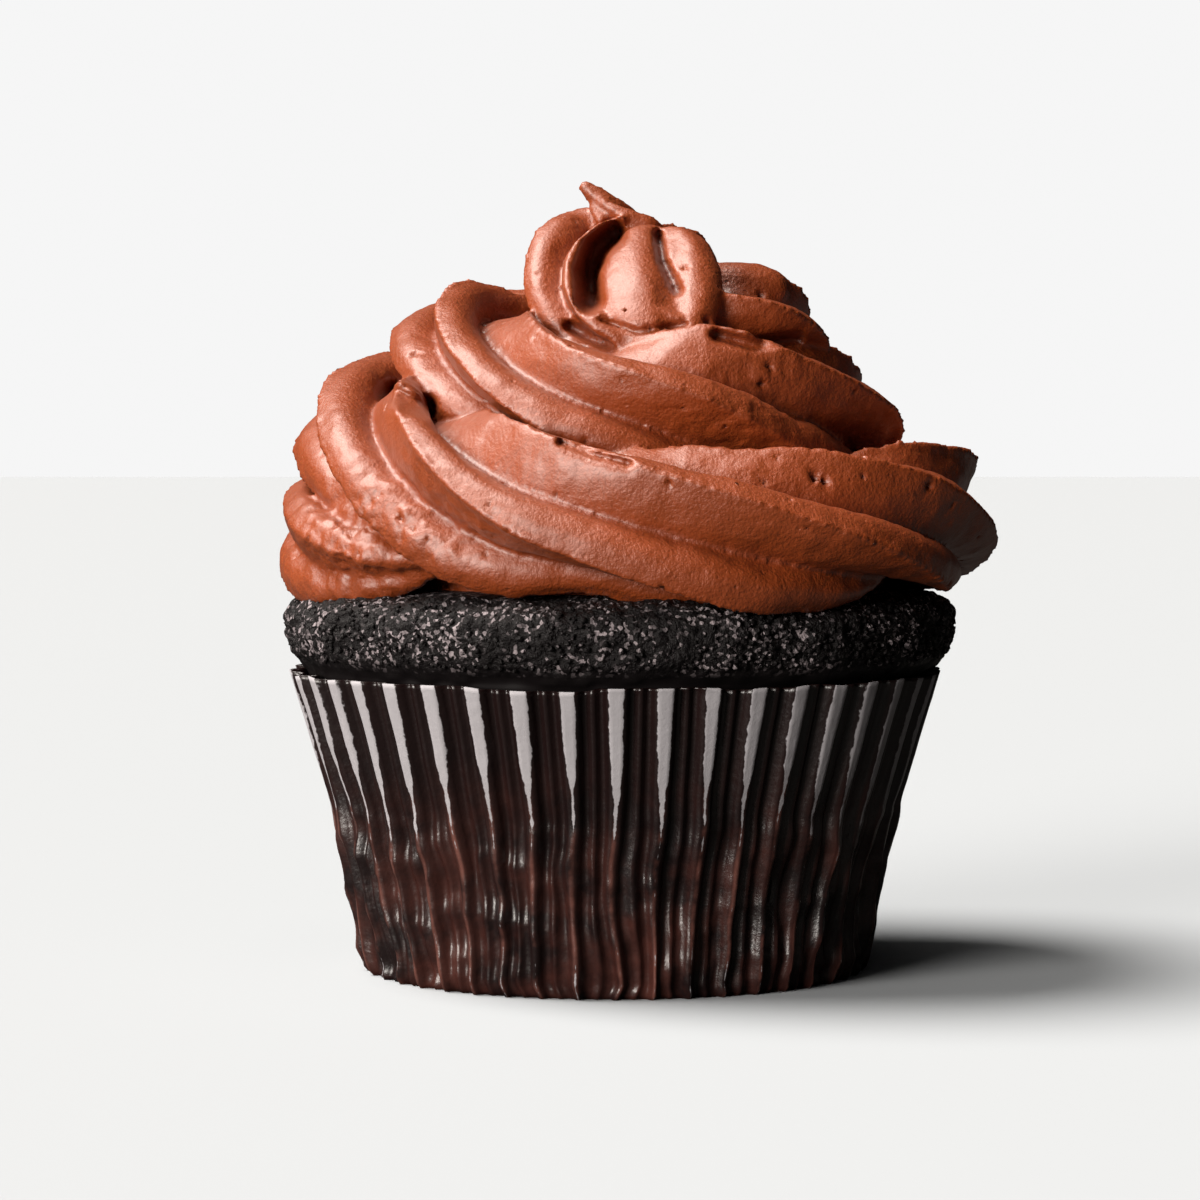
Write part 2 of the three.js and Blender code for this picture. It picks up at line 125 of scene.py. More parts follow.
# ---- piped frosting, in millimetres ----
SWIRL_OFFSET = 2.5
LOBES = 5
VALLEY_PLACE = 0.47
FACE_SLOPE = 0.25
UNDERSIDE_BEND = 1.4
TWIST = 1.373
TWIST_START = -250.8
TWIST_GAIN = 1.316
TWIST_GAIN_FROM = 2.25
PEAK_TWIST = 200.0
PEAK_LOBES = 0.42
SECTIONS_PER_TURN = 400
POINTS_PER_LOBE = 20
CREST_LIP = 0.03
CREST_WIDTH = 0.07
LOBE_WANDER = 0.035
STREAK_DEPTH = 0.008
ACROSS_LIMIT = 0.75  # share of the ring's radius that the rope may reach inwards
# Layers of relief: depth, cell, seed.
CREST_TEARS = ((0.018, 0.14, 5), (0.010, 0.06, 6))
FROSTING_RELIEF = ((0.16, 6.0, 11), (0.07, 2.4, 12))
TORN_RELIEF = ((1.0, 1.1, 13), (0.6, 0.6, 14), (0.8, 2.6, 15))
EVEN_ROUGHNESS = 0.05
SMALLEST_PIT = 0.16
PIT_SPREAD = 0.30
HOLLOW_PASSES = 40
SHARPENING = 0.25
SHARPENED = (-0.4, 0.9)  # the least and the most hollow that is sharpened
TRIANGLE_LIMIT = 195000

# Stations of the rope: turn, ring radius, height, half width, half height, twist aside,
# depth of the valleys between the lobes.
ROPE = np.array([
    (-0.14, 28.6, 42.4, 1.6, 1.6, 0.00, 0.30),
    (-0.09, 29.2, 42.8, 5.0, 5.2, 0.00, 0.30),
    (0.00, 29.8, 43.2, 6.4, 6.8, 0.05, 0.34),
    (0.25, 28.5, 43.4, 8.1, 7.5, 0.04, 0.38),
    (0.50, 26.9, 44.0, 9.0, 8.5, -0.26, 0.42),
    (0.65, 28.4, 43.0, 8.3, 8.9, 0.06, 0.48),
    (0.80, 28.3, 45.4, 7.6, 8.9, -0.14, 0.44),
    (1.00, 24.8, 53.1, 8.7, 7.1, 0.68, 0.46),
    (1.25, 20.5, 53.4, 9.6, 8.0, 0.25, 0.46),
    (1.50, 15.5, 54.0, 10.5, 8.3, 0.21, 0.46),
    (1.65, 16.0, 53.9, 8.1, 8.8, 0.02, 0.46),
    (1.80, 17.9, 55.6, 8.1, 7.1, -0.17, 0.46),
    (2.00, 17.0, 61.8, 8.0, 6.0, 0.02, 0.52),
    (2.50, 9.2, 62.2, 9.4, 5.4, 0.22, 0.50),
    (2.75, 9.5, 63.1, 5.9, 4.4, -0.07, 0.50),
    (3.00, 5.1, 69.8, 6.2, 6.1, 0.13, 0.55),
    (3.50, 3.0, 69.6, 4.8, 4.4, -0.05, 0.50),
])

# Where the rope swells: turn, angle from outwards, reach in turns and in degrees, gain.
SWELLS = (
    (-0.05, -70, 0.10, 40, 0.15),
    (0.00, -10, 0.12, 60, 0.03),
    (0.47, 50, 0.06, 24, 0.14),
    (0.52, 24, 0.06, 18, -0.12),
    (0.58, -100, 0.09, 50, -0.60),
    (0.67, -75, 0.07, 40, -0.12),
    (0.77, -85, 0.045, 45, -0.32),
    (1.02, -20, 0.09, 45, 0.10),
    (1.04, 80, 0.08, 35, 0.22),
    (1.70, 85, 0.08, 40, 0.16),
    (2.02, 80, 0.10, 40, 0.14),
    (2.50, 77, 0.12, 45, 0.40),
    (2.95, 110, 0.10, 40, 0.09),
)

# Rounded folds of frosting at the top: two ends, half width, half thickness, crease.
FOLD_FULLNESS = 0.65
FOLD_ROWS = 28
FOLD_COLUMNS = 48
FOLD_END = 0.04  # radians left open at each end
FOLDS = (
    ((4.0, -15.0, 61.8), (4.6, -2.8, 73.4), 6.2, 3.0, 0.42),
    ((7.6, -1.5, 68.0), (17.2, 1.0, 67.6), 2.6, 2.6, 0.0),
)

# Hollows and creases on the front: radius, depth, path of side and height as seen.
STROKES = (
    (1.9, 5.0, ((-2.6, 66.8), (-2.8, 69.6), (-1.8, 72.1), (-0.2, 73.4))),
    (0.8, 1.7, ((4.3, 73.2), (4.7, 70.8), (6.2, 67.8))),
    (0.5, 0.8, ((-1.4, 64.8), (2.2, 63.6), (7.0, 64.4))),
    (0.8, 1.5, ((-4.6, 64.2), (-2.6, 63.0), (-1.0, 62.6))),
    (1.6, 3.0, ((-22.6, 57.6), (-20.6, 56.6), (-19.0, 56.0))),
    (0.7, 1.5, ((-5.4, 52.6), (-2.0, 51.3), (1.4, 50.4))),
    (1.0, 1.6, ((10.2, 63.2), (13.6, 62.3), (18.2, 63.0))),
)

# Large air pits on the front: side and height as seen, radius.
PITS = (
    (20.4, 49.4, 0.60), (21.2, 49.0, 0.55), (15.0, 49.0, 0.35), (25.2, 49.3, 0.28),
    (11.2, 53.6, 0.25), (15.0, 58.2, 0.35), (-6.8, 58.4, 0.25), (-21.9, 45.2, 0.40),
    (-20.4, 44.2, 0.35), (-18.9, 43.1, 0.30), (-11.2, 43.5, 0.28), (-13.2, 41.6, 0.3),
    (-6.2, 47.2, 0.25),
)

# Patches where the frosting tore: side and height as seen, reach, depth.
TORN = (
    (-26.5, 41.4, 5.0, 0.26), (-17.0, 42.6, 5.0, 0.12), (-24.0, 47.5, 4.0, 0.06),
    (14.0, 55.5, 7.0, 0.06),
)

# The pulled-up peak: side, height, radius.
PEAK = np.array([
    (2.6, 66.5, 5.2),
    (2.2, 69.5, 4.9),
    (1.0, 72.6, 4.0),
    (-0.4, 75.0, 2.3),
    (-1.7, 77.0, 1.1),
    (-3.3, 78.2, 0.45),
])

# The hidden core that closes the swirl's middle: radius, height.
HEART = ((24, 37), (25.5, 42), (21, 50), (18, 57), (15.5, 61), (8, 66), (3, 72))

# ---------------------------------------------------------------- settings

class CupcakeSizes(bpy.types.PropertyGroup):
    """Sizes that a user would change"""

    pleats: IntProperty(
        name="Pleats", description="Pleats round the paper case", default=44, min=8, max=90)
    paper: FloatProperty(
        name="Paper", description="Thickness of the baking paper", default=0.16 * MM,
        subtype="DISTANCE", unit="LENGTH")
    voxel: FloatProperty(
        name="Frosting detail", description="Finest step of the frosting's surface",
        default=0.34 * MM, subtype="DISTANCE", unit="LENGTH")
    crumbs: IntProperty(
        name="Crumbs", description="Loose crumbs on the cake's edge", default=2400, min=0)
    crumb_size: FloatProperty(
        name="Crumb size", description="Width of a typical crumb", default=0.45 * MM,
        subtype="DISTANCE", unit="LENGTH")
    pits: IntProperty(
        name="Air pits", description="Burst air bubbles in the frosting", default=170, min=0)


def hex_colour(code):
    """An sRGB hex value as linear red, green, blue and alpha."""
    values = [int(code[i:i + 2], 16) / 255 for i in (1, 3, 5)]
    linear = [v / 12.92 if v <= 0.04045 else ((v + 0.055) / 1.055) ** 2.4 for v in values]
    return (*linear, 1.0)


class CupcakeColours(bpy.types.PropertyGroup):
    """Colours that a user would change"""

    frosting: FloatVectorProperty(
        name="Frosting", description="Milk chocolate buttercream", subtype="COLOR", size=4,
        default=hex_colour("#89390b"), min=0, max=1)
    cake: FloatVectorProperty(
        name="Cake", description="Dark cocoa crumb", subtype="COLOR", size=4,
        default=hex_colour("#070304"), min=0, max=1)
    soaked: FloatVectorProperty(
        name="Soaked paper", description="Paper wet through with butter", subtype="COLOR",
        size=4, default=hex_colour("#3e211c"), min=0, max=1)
    dry: FloatVectorProperty(
        name="Dry paper", description="Paper that stands clear of the cake", subtype="COLOR",
        size=4, default=hex_colour("#989599"), min=0, max=1)


# ---------------------------------------------------------------- helpers

def scatter_hash(i, j, k, seed):
    """A repeatable random number from -1 to 1 for each lattice corner."""
    n = (i * 73856093) ^ (j * 19349663) ^ (k * 83492791) ^ (seed * 40503)
    n = (n ^ (n >> 13)) * 1274126177 & 0xFFFFFFFF
    n = (n ^ (n >> 16)) & 0xFFFF
    return n / 32767.5 - 1.0


def noise(points, cell, seed):
    """Smooth random values from -1 to 1 that change over one cell, in the points' unit."""
    q = points / cell + 1000.0
    base = np.floor(q).astype(np.int64)
    f = q - base
    f = f * f * f * (f * (f * 6 - 15) + 10)
    total = 0.0
    for dx in (0, 1):
        for dy in (0, 1):
            for dz in (0, 1):
                share = 1.0
                for axis, d in enumerate((dx, dy, dz)):
                    share = share * (f[:, axis] if d else 1 - f[:, axis])
                corner = scatter_hash(
                    base[:, 0] + dx, base[:, 1] + dy, base[:, 2] + dz, seed)
                total = total + share * corner
    return total


def layered(points, layers):
    """The sum of several noises, each with its depth, cell and seed."""
    return sum(depth * noise(points, cell, seed) for depth, cell, seed in layers)


def smoothstep(x, low, high):
    """0 below the low value, 1 above the high one, and smooth between."""
    u = np.clip((x - low) / (high - low), 0, 1)
    return u * u * (3 - 2 * u)


def mesh_object(name, points, faces):
    """A mesh object from points in millimetres."""
    mesh = bpy.data.meshes.new(name)
    mesh.from_pydata([tuple(p) for p in np.asarray(points) * MM], [], faces)
    mesh.validate()
    mesh.update()
    obj = bpy.data.objects.new(name, mesh)
    bpy.context.scene.collection.objects.link(obj)
    return obj


def stacked(rings):
    """Points and faces of a closed body from stacked rings, capped at both ends."""
    rings = np.asarray(rings)
    rows, count = rings.shape[:2]
    points = rings.reshape(-1, 3)
    faces = []
    for row in range(rows - 1):
        a = row * count
        for i in range(count):
            j = (i + 1) % count
            faces.append((a + i, a + j, a + count + j, a + count + i))
    first = len(points)
    points = np.vstack([points, rings[0].mean(0), rings[-1].mean(0)])
    last = (rows - 1) * count
    for i in range(count):
        j = (i + 1) % count
        faces.append((first, j, i))
        faces.append((first + 1, last + i, last + j))
    return points, faces


def vertices_of(mesh):
    """The mesh's vertices in millimetres."""
    flat = np.empty(len(mesh.vertices) * 3)
    mesh.vertices.foreach_get("co", flat)
    return flat.reshape(-1, 3) / MM


def normals_of(mesh):
    """The mesh's vertex normals."""
    flat = np.empty(len(mesh.vertices) * 3)
    mesh.vertex_normals.foreach_get("vector", flat)
    return flat.reshape(-1, 3)


def ring_round(middle, radius, height, angle):
    """A level ring of points whose middle stands aside from the axis, along x."""
    return np.stack([middle + radius * np.cos(angle), radius * np.sin(angle),
                     0 * angle + height], -1)


def move_vertices(mesh, points):
    """Moves the mesh's vertices to points in millimetres."""
    mesh.vertices.foreach_set("co", (points * MM).ravel())
    mesh.update()


def with_modifier(obj, kind, **settings):
    """The object's mesh after one modifier, which is then gone."""
    modifier = obj.modifiers.new(kind.title(), kind)
    for key, value in settings.items():
        setattr(modifier, key, value)
    made_plain(obj)


def made_plain(obj):
    """Turns the evaluated object into a plain mesh and removes its modifiers."""
    graph = bpy.context.evaluated_depsgraph_get()
    graph.update()
    mesh = bpy.data.meshes.new_from_object(
        obj.evaluated_get(graph), preserve_all_data_layers=True, depsgraph=graph)
    old = obj.data
    obj.modifiers.clear()
    obj.data = mesh
    bpy.data.meshes.remove(old)
    mesh.name = obj.name


def finish_piece(obj, material, node=None):
    """Smooth faces, material and the frame calls for one finished piece."""
    obj.data.materials.clear()
    obj.data.materials.append(material)
    obj.data.shade_smooth()
    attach(obj, "root")
    if node:
        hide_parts(node)


def add_node(tree, kind, inputs=None, **settings):
    """Adds a node, sets its settings and sets or links its inputs."""
    node = tree.nodes.new(kind)
    for key, value in settings.items():
        setattr(node, key, value)
    for key, value in (inputs or {}).items():
        if isinstance(value, bpy.types.NodeSocket):
            tree.links.new(value, node.inputs[key])
        else:
            node.inputs[key].default_value = value
    return node


def calculate(tree, operation, *values):
    """The result of one sum on numbers or sockets."""
    node = add_node(tree, "ShaderNodeMath", dict(enumerate(values)), operation=operation)
    return node.outputs[0]


def new_material(name):
    """An empty material with its node tree and its Principled shader."""
    material = bpy.data.materials.new(name)
    material.use_nodes = True
    tree = material.node_tree
    return material, tree, tree.nodes["Principled BSDF"]


# ---------------------------------------------------------------- frosting shape

def station_values(turns):
    """Ring, height, half width and half height along the rope, with no overshoot."""
    keys, values = ROPE[:, 0], ROPE[:, 1:]
    span = np.diff(keys)[:, None]
    chord = np.diff(values, axis=0) / span
    slope = np.zeros_like(values)
    slope[0], slope[-1] = chord[0], chord[-1]
    before, after = chord[:-1], chord[1:]
    mixed = (before * span[1:] + after * span[:-1]) / (span[:-1] + span[1:])
    limit = 3 * np.minimum(np.abs(before), np.abs(after))
    slope[1:-1] = np.where(before * after > 0, np.clip(mixed, -limit, limit), 0)
    i = np.clip(np.searchsorted(keys, turns, side="right") - 1, 0, len(keys) - 2)
    width = span[i]
    u = (turns - keys[i])[:, None] / width
    rest = 1 - u
    return ((1 + 2 * u) * rest**2 * values[i] + u * rest**2 * width * slope[i]
            + u**2 * (3 - 2 * u) * values[i + 1] - u**2 * rest * width * slope[i + 1])


def outwards(turns):
    """The level direction from the swirl's axis to the rope."""
    angle = -np.pi / 2 - 2 * np.pi * turns
    return np.stack([np.sin(angle), -np.cos(angle), 0 * angle], -1)


def rope_centre(turns):
    """The middle of the rope."""
    values = station_values(turns)
    centre = outwards(turns) * values[:, :1]
    centre[:, 0] += SWIRL_OFFSET
    centre[:, 2] = values[:, 1]
    return centre


def lobe_reach(place, depth):
    """Reach of the nozzle's section, 1 at a crest, growing upwards from crest to crest."""
    u = place / VALLEY_PLACE
    face = FACE_SLOPE * u + (1 - FACE_SLOPE) * u**3
    v = np.maximum(place - VALLEY_PLACE, 0) / (1 - VALLEY_PLACE)
    return 1 - depth * np.where(place < VALLEY_PLACE, face, 1 - v**UNDERSIDE_BEND)


def rope_twist(turns):
    """The angle of the first crest, from outwards."""
    gain = np.maximum(turns, TWIST_GAIN_FROM) - TWIST_GAIN_FROM
    even = 2 * np.pi * TWIST * turns + math.radians(TWIST_START)
    return even + TWIST_GAIN * gain**2 + station_values(turns)[:, 4]


def rope_swell(turns, angle):
    """How much further than its station's size the rope reaches at an angle."""
    gain = np.ones_like(turns)
    for turn, towards, length, width, more in SWELLS:
        aside = (np.degrees(angle) - towards + 180) % 360 - 180
        gain += more * np.exp(-((turns - turn) / length) ** 2 - (aside / width) ** 2)
    return gain


def rope_rings():
    """The piped rope, section by section."""
    first, last = ROPE[0, 0], ROPE[-1, 0]
    turns = np.linspace(first, last, int((last - first) * SECTIONS_PER_TURN))
    step = 0.001
    ahead = rope_centre(np.minimum(turns + step, last))
    along = ahead - rope_centre(np.maximum(turns - step, first))
    along /= np.linalg.norm(along, axis=1, keepdims=True)
    side = outwards(turns)
    side = side - (side * along).sum(1, keepdims=True) * along
    side /= np.linalg.norm(side, axis=1, keepdims=True)
    up = np.cross(along, side)
    values = station_values(turns)
    centre = rope_centre(turns)
    place = np.arange(POINTS_PER_LOBE) / POINTS_PER_LOBE
    rings = []
    for lobe in range(LOBES):
        # Ragged crests and streaks that the nozzle leaves along the rope.
        track = np.stack([turns * 12, 0 * turns + lobe * 7.3, 0 * turns], -1)
        swell = 1 + LOBE_WANDER * noise(track, 1.6, 3)
        torn = layered(track, CREST_TEARS)
        for p in place:
            streak = noise(track * (0.25, 1, 1) + (0, 0, 9 * p), 0.5, 7)
            nearby = math.exp(-(min(p, 1 - p) / CREST_WIDTH) ** 2)
            angle = rope_twist(turns) + 2 * np.pi * (lobe + p) / LOBES
            reach = lobe_reach(p, values[:, 5]) * swell * rope_swell(turns, angle)
            reach = reach + torn * nearby + STREAK_DEPTH * streak + (CREST_LIP if p == 0 else 0)
            across = np.maximum(values[:, 2] * reach * np.cos(angle),
                                -ACROSS_LIMIT * values[:, 0])
            tall = values[:, 3] * reach * np.sin(angle)
            rings.append(centre + across[:, None] * side + tall[:, None] * up)
    return np.stack(rings, 1)


def peak_rings():
    """The peak that the nozzle pulled up as it left."""
    count = 60
    rows = np.linspace(0, len(PEAK) - 1, count)
    index = np.arange(len(PEAK))
    shape = np.stack([np.interp(rows, index, PEAK[:, k]) for k in range(3)], -1)
    for _ in range(3):
        shape[1:-1] = (shape[:-2] + 2 * shape[1:-1] + shape[2:]) / 4
    slope = np.gradient(shape, axis=0)
    lean = np.arctan2(slope[:, 0], slope[:, 1])
    twist = np.radians(PEAK_TWIST * rows / (len(PEAK) - 1))
    rings = []
    for lobe in range(LOBES):
        for p in np.arange(POINTS_PER_LOBE) / POINTS_PER_LOBE:
            angle = -twist - 2 * np.pi * (lobe + p) / LOBES
            reach = shape[:, 2] * lobe_reach(p, PEAK_LOBES)
            across = reach * np.cos(angle)
            rings.append(np.stack([shape[:, 0] + across * np.cos(lean),
                                   reach * np.sin(angle),
                                   shape[:, 1] - across * np.sin(lean)], -1))
    return np.stack(rings, 1)


def heart_rings():
    """The core inside the swirl."""
    angle = np.linspace(0, 2 * np.pi, 96, endpoint=False)
    return np.array([ring_round(SWIRL_OFFSET, radius, height, angle) for radius, height in HEART])


def fold_rings(start, end, width, thickness, crease):
    """A rounded fold between two ends, creased along its front, as rings of points."""
    start, end = np.array(start), np.array(end)
    along = end - start
    side = np.cross(along, (0, -1, 0))
    side /= np.linalg.norm(side)
    up = np.cross(side, along) / np.linalg.norm(along)
    angle = np.linspace(0, 2 * np.pi, FOLD_COLUMNS, endpoint=False)[:, None]
    rings = []
    for turn in np.linspace(FOLD_END, np.pi - FOLD_END, FOLD_ROWS):
        share = 0.5 - 0.5 * math.cos(turn)
        middle = start + along * share
        swell = math.sin(turn) ** FOLD_FULLNESS
        aside = (np.cos(angle) - 0.34 + 0.3 * share) / 0.3
        dent = 1 - crease * np.exp(-aside**2) * (np.sin(angle) > 0)
        rings.append(middle + swell * (width * np.cos(angle) * side
                                       + thickness * dent * np.sin(angle) * up))
    return np.array(rings)


def crown_height(points):
    """Height of the cake's top under each point."""
    r = np.hypot(points[:, 0] - COLLAR_SHIFT, points[:, 1])
    radii = [0, CROWN_EDGE_RADIUS * 0.55, CROWN_EDGE_RADIUS, COLLAR_RADIUS - 0.9]
    heights = [CROWN_HEIGHT, CROWN_HEIGHT - 0.5, CROWN_EDGE_HEIGHT, COLLAR_HEIGHT + 1.5]
    return np.where(r > COLLAR_RADIUS + 0.2, 0, np.interp(r, radii, heights))


def joined(parts):
    """Several bodies as one list of points and one of faces."""
    points, faces, offset = [], [], 0
    for part_points, part_faces in parts:
        points.append(part_points)
        faces += [tuple(i + offset for i in face) for face in part_faces]
        offset += len(part_points)
    return np.vstack(points), faces


def front_place(points):
    """Where points show from the front: side and height on the plane through the middle."""
    nearer = VIEW_DISTANCE / (VIEW_DISTANCE + points[:, 1])
    side = VIEW_SIDE + (points[:, 0] - VIEW_SIDE) * nearer
    return np.stack([side, VIEW_HEIGHT + (points[:, 2] - VIEW_HEIGHT) * nearer], -1)


def with_strokes(points):
    """Presses the hollows and creases of the front into the frosting."""
    points = points.copy()
    shown = front_place(points)
    for radius, depth, path in STROKES:
        path = np.array(path)
        nearest = np.full(len(points), np.inf)
        for start, end in zip(path[:-1], path[1:]):
            line = end - start
            share = np.clip((shown - start) @ line / (line @ line), 0, 1)
            gap = np.linalg.norm(shown - start - share[:, None] * line, axis=1)
            nearest = np.minimum(nearest, gap)
        near = (nearest < radius) & (points[:, 1] < 0)
        points[near, 1] += depth * (1 - (nearest[near] / radius) ** 2) ** 2
    return points


def torn_depth(points):
    """How rough the frosting is at each point, in millimetres."""
    shown = front_place(points)
    depth = np.full(len(points), EVEN_ROUGHNESS)
    for side, height, reach, most in TORN:
        gap = np.hypot(shown[:, 0] - side, shown[:, 1] - height) / reach
        depth += most * np.exp(-gap**2) * (points[:, 1] < -2)
    return depth


def hollowness(mesh):
    """How far each vertex lies below its surroundings, about 2 mm around, in millimetres."""
    points, normals = vertices_of(mesh), normals_of(mesh)
    ends = np.empty(2 * len(mesh.edges), np.int32)
    mesh.edges.foreach_get("vertices", ends)
    one = np.concatenate([ends[::2], ends[1::2]])
    two = np.concatenate([ends[1::2], ends[::2]])
    count = np.bincount(one, minlength=len(points))[:, None]
    even = points.copy()
    for _ in range(HOLLOW_PASSES):
        around = [np.bincount(one, even[two, k], len(points)) for k in range(3)]
        even = np.stack(around, -1) / count
    return ((even - points) * normals).sum(1)


def with_pits(points, normals, count):
    """Opens burst air bubbles in the frosting, and the few large ones on its front."""
    random = np.random.default_rng(17)
    spots = [points[i] for i in random.integers(0, len(points), count)]
    radii = list(SMALLEST_PIT + PIT_SPREAD * random.random(count) ** 2)
    moved = points.copy()
    shown = front_place(points)
    for side, height, radius in PITS:
        gap = np.hypot(shown[:, 0] - side, shown[:, 1] - height)
        near = np.where((gap < 0.6) & (points[:, 1] < -2))[0]
        if len(near):
            spots.append(points[near[np.argmin(points[near, 1])]])
            radii.append(radius)
    for spot, radius in zip(spots, radii):
        gap = np.linalg.norm(points - spot, axis=1) / radius
        near = gap < 1.6
        uneven = gap[near] + 0.45 * noise(points[near], 0.5, 41)
        dent = 1.5 * radius * (1 - smoothstep(uneven, 0.1, 1.1))
        moved[near] -= normals[near] * dent[:, None]
    return moved


class CUPCAKE_OT_frosting(bpy.types.Operator):
    """Pipes the swirl of frosting"""

    bl_idname = "cupcake.frosting"
    bl_label = "Frosting"

    def execute(self, context):
        sizes = context.scene.cupcake_sizes
        folds = [fold_rings(*fold) for fold in FOLDS]
        points, faces = joined([
            stacked(rings) for rings in (rope_rings(), peak_rings(), heart_rings(), *folds)])
        points[:, 2] = np.maximum(points[:, 2], crown_height(points) - 0.05)
        frosting = mesh_object("piped_frosting", points, faces)
        with_modifier(frosting, "REMESH", mode="VOXEL", voxel_size=sizes.voxel)
        mesh = frosting.data
        p, n = vertices_of(mesh), normals_of(mesh)
        relief = layered(p, FROSTING_RELIEF) + torn_depth(p) * layered(p, TORN_RELIEF)
        p = p + n * relief[:, None]
        p = with_strokes(p)
        p = with_pits(p, n, sizes.pits)
        move_vertices(mesh, p)
        triangles = sum(len(face.vertices) - 2 for face in mesh.polygons)
        if triangles > TRIANGLE_LIMIT:
            with_modifier(frosting, "DECIMATE", ratio=TRIANGLE_LIMIT / triangles)
        # Creases cut deeper and crests drawn finer than the coarse mesh left them.
        mesh = frosting.data
        p, n, depth = vertices_of(mesh), normals_of(mesh), hollowness(mesh)
        move_vertices(mesh, p - n * (SHARPENING * np.clip(depth, *SHARPENED))[:, None])
        # The hollowness is kept for the material, which uses it to paint shade into the creases.
        hollow = mesh.attributes.new("hollow", "FLOAT", "POINT")
        hollow.data.foreach_set("value", depth)
        finish_piece(frosting, buttercream(), "frosting")
        return {"FINISHED"}


def buttercream():
    """Whipped chocolate buttercream, piped: satin, a little waxy where the butter has set, with
    shade painted into its creases.
    """
    colours = bpy.context.scene.cupcake_colours
    material, tree, shader = new_material("chocolate_buttercream")
    place = add_node(tree, "ShaderNodeTexCoord").outputs["Object"]
    cloud = add_node(tree, "ShaderNodeTexNoise", {
        "Vector": place, "Scale": 120.0, "Detail": 3.0, "Roughness": 0.6})
    light = colours.frosting
    dark = tuple(0.78 * v for v in light[:3]) + (1.0,)
    tone = add_node(tree, "ShaderNodeMix", {0: cloud.outputs[0], 6: dark, 7: light},
                    data_type="RGBA")
    # Painted shade: darker in the creases, where the cream is folded in on itself.
    hollow = add_node(tree, "ShaderNodeAttribute", attribute_name="hollow")
    crease = add_node(tree, "ShaderNodeMapRange", {
        "Value": hollow.outputs["Fac"], "From Min": 0.12, "From Max": 0.80,
        "To Max": 0.35})
    crease_painted_shade = add_node(tree, "ShaderNodeMix", {
        0: crease.outputs[0], 6: tone.outputs[2], 7: hex_colour("#5a1a04")}, data_type="RGBA")
    tree.links.new(crease_painted_shade.outputs[2], shader.inputs["Base Color"])
    shader.inputs["Roughness"].default_value = 0.5
    grain = add_node(tree, "ShaderNodeTexNoise", {
        "Vector": place, "Scale": 2600.0, "Detail": 3.0, "Roughness": 0.6})
    bubbles = add_node(tree, "ShaderNodeTexVoronoi", {"Vector": place, "Scale": 420.0})
    dents = add_node(tree, "ShaderNodeMapRange", {
        "Value": bubbles.outputs["Distance"], "From Min": 0.0, "From Max": 0.12,
        "To Min": 0.0, "To Max": 1.0})
    soft = add_node(tree, "ShaderNodeBump", {
        "Height": grain.outputs[0], "Strength": 0.6, "Distance": 0.0003})
    pitted = add_node(tree, "ShaderNodeBump", {
        "Height": dents.outputs[0], "Normal": soft.outputs[0], "Strength": 0.35,
        "Distance": 0.0003})
    tree.links.new(pitted.outputs[0], shader.inputs["Normal"])
    shader.inputs["IOR"].default_value = 1.5
    shader.inputs["Coat Weight"].default_value = 0.65
    shader.inputs["Coat Roughness"].default_value = 0.4
    shader.inputs["Subsurface Weight"].default_value = 0.05
    shader.inputs["Subsurface Radius"].default_value = (1.0, 0.35, 0.2)
    shader.inputs["Subsurface Scale"].default_value = 0.0012
    return material


# ---------------------------------------------------------------- cake

def resampled(line, step):
    """The line again with a point at about every step."""
    line = np.array(line, float)
    length = np.concatenate([[0], np.cumsum(np.linalg.norm(np.diff(line, axis=0), axis=1))])
    at = np.linspace(0, length[-1], int(length[-1] / step) + 1)
    return np.stack([np.interp(at, length, line[:, k]) for k in range(2)], -1)


class CUPCAKE_OT_cake(bpy.types.Operator):
    """Bakes the cake with its open crumb above the case"""

    bl_idname = "cupcake.cake"
    bl_label = "Cake"

    def execute(self, context):
        profile = np.vstack([CAKE_WALL, resampled(CAKE_BAND, CAKE_STEP), CAKE_TOP])
        angle = np.linspace(0, 2 * np.pi, CAKE_COLUMNS, endpoint=False)
        points, faces = stacked([
            ring_round(COLLAR_SHIFT * smoothstep(height, 29.5, 31.0), radius, height, angle)
            for radius, height in profile])
        cake = mesh_object("cocoa_cake", points, faces)
        mesh = cake.data
        p, n = vertices_of(mesh), normals_of(mesh)
        shown = smoothstep(p[:, 2], 29.6, 30.6) * smoothstep(np.hypot(p[:, 0], p[:, 1]), 26, 29)
        open_crumb = smoothstep(p[:, 2], 30.6, 32.2)
        crumb = layered(p, CAKE_RELIEF) + open_crumb * layered(p, CRUMB_RELIEF)
        move_vertices(mesh, p + n * (crumb * shown)[:, None])
        finish_piece(cake, cocoa_crumb(), "cake")
        return {"FINISHED"}


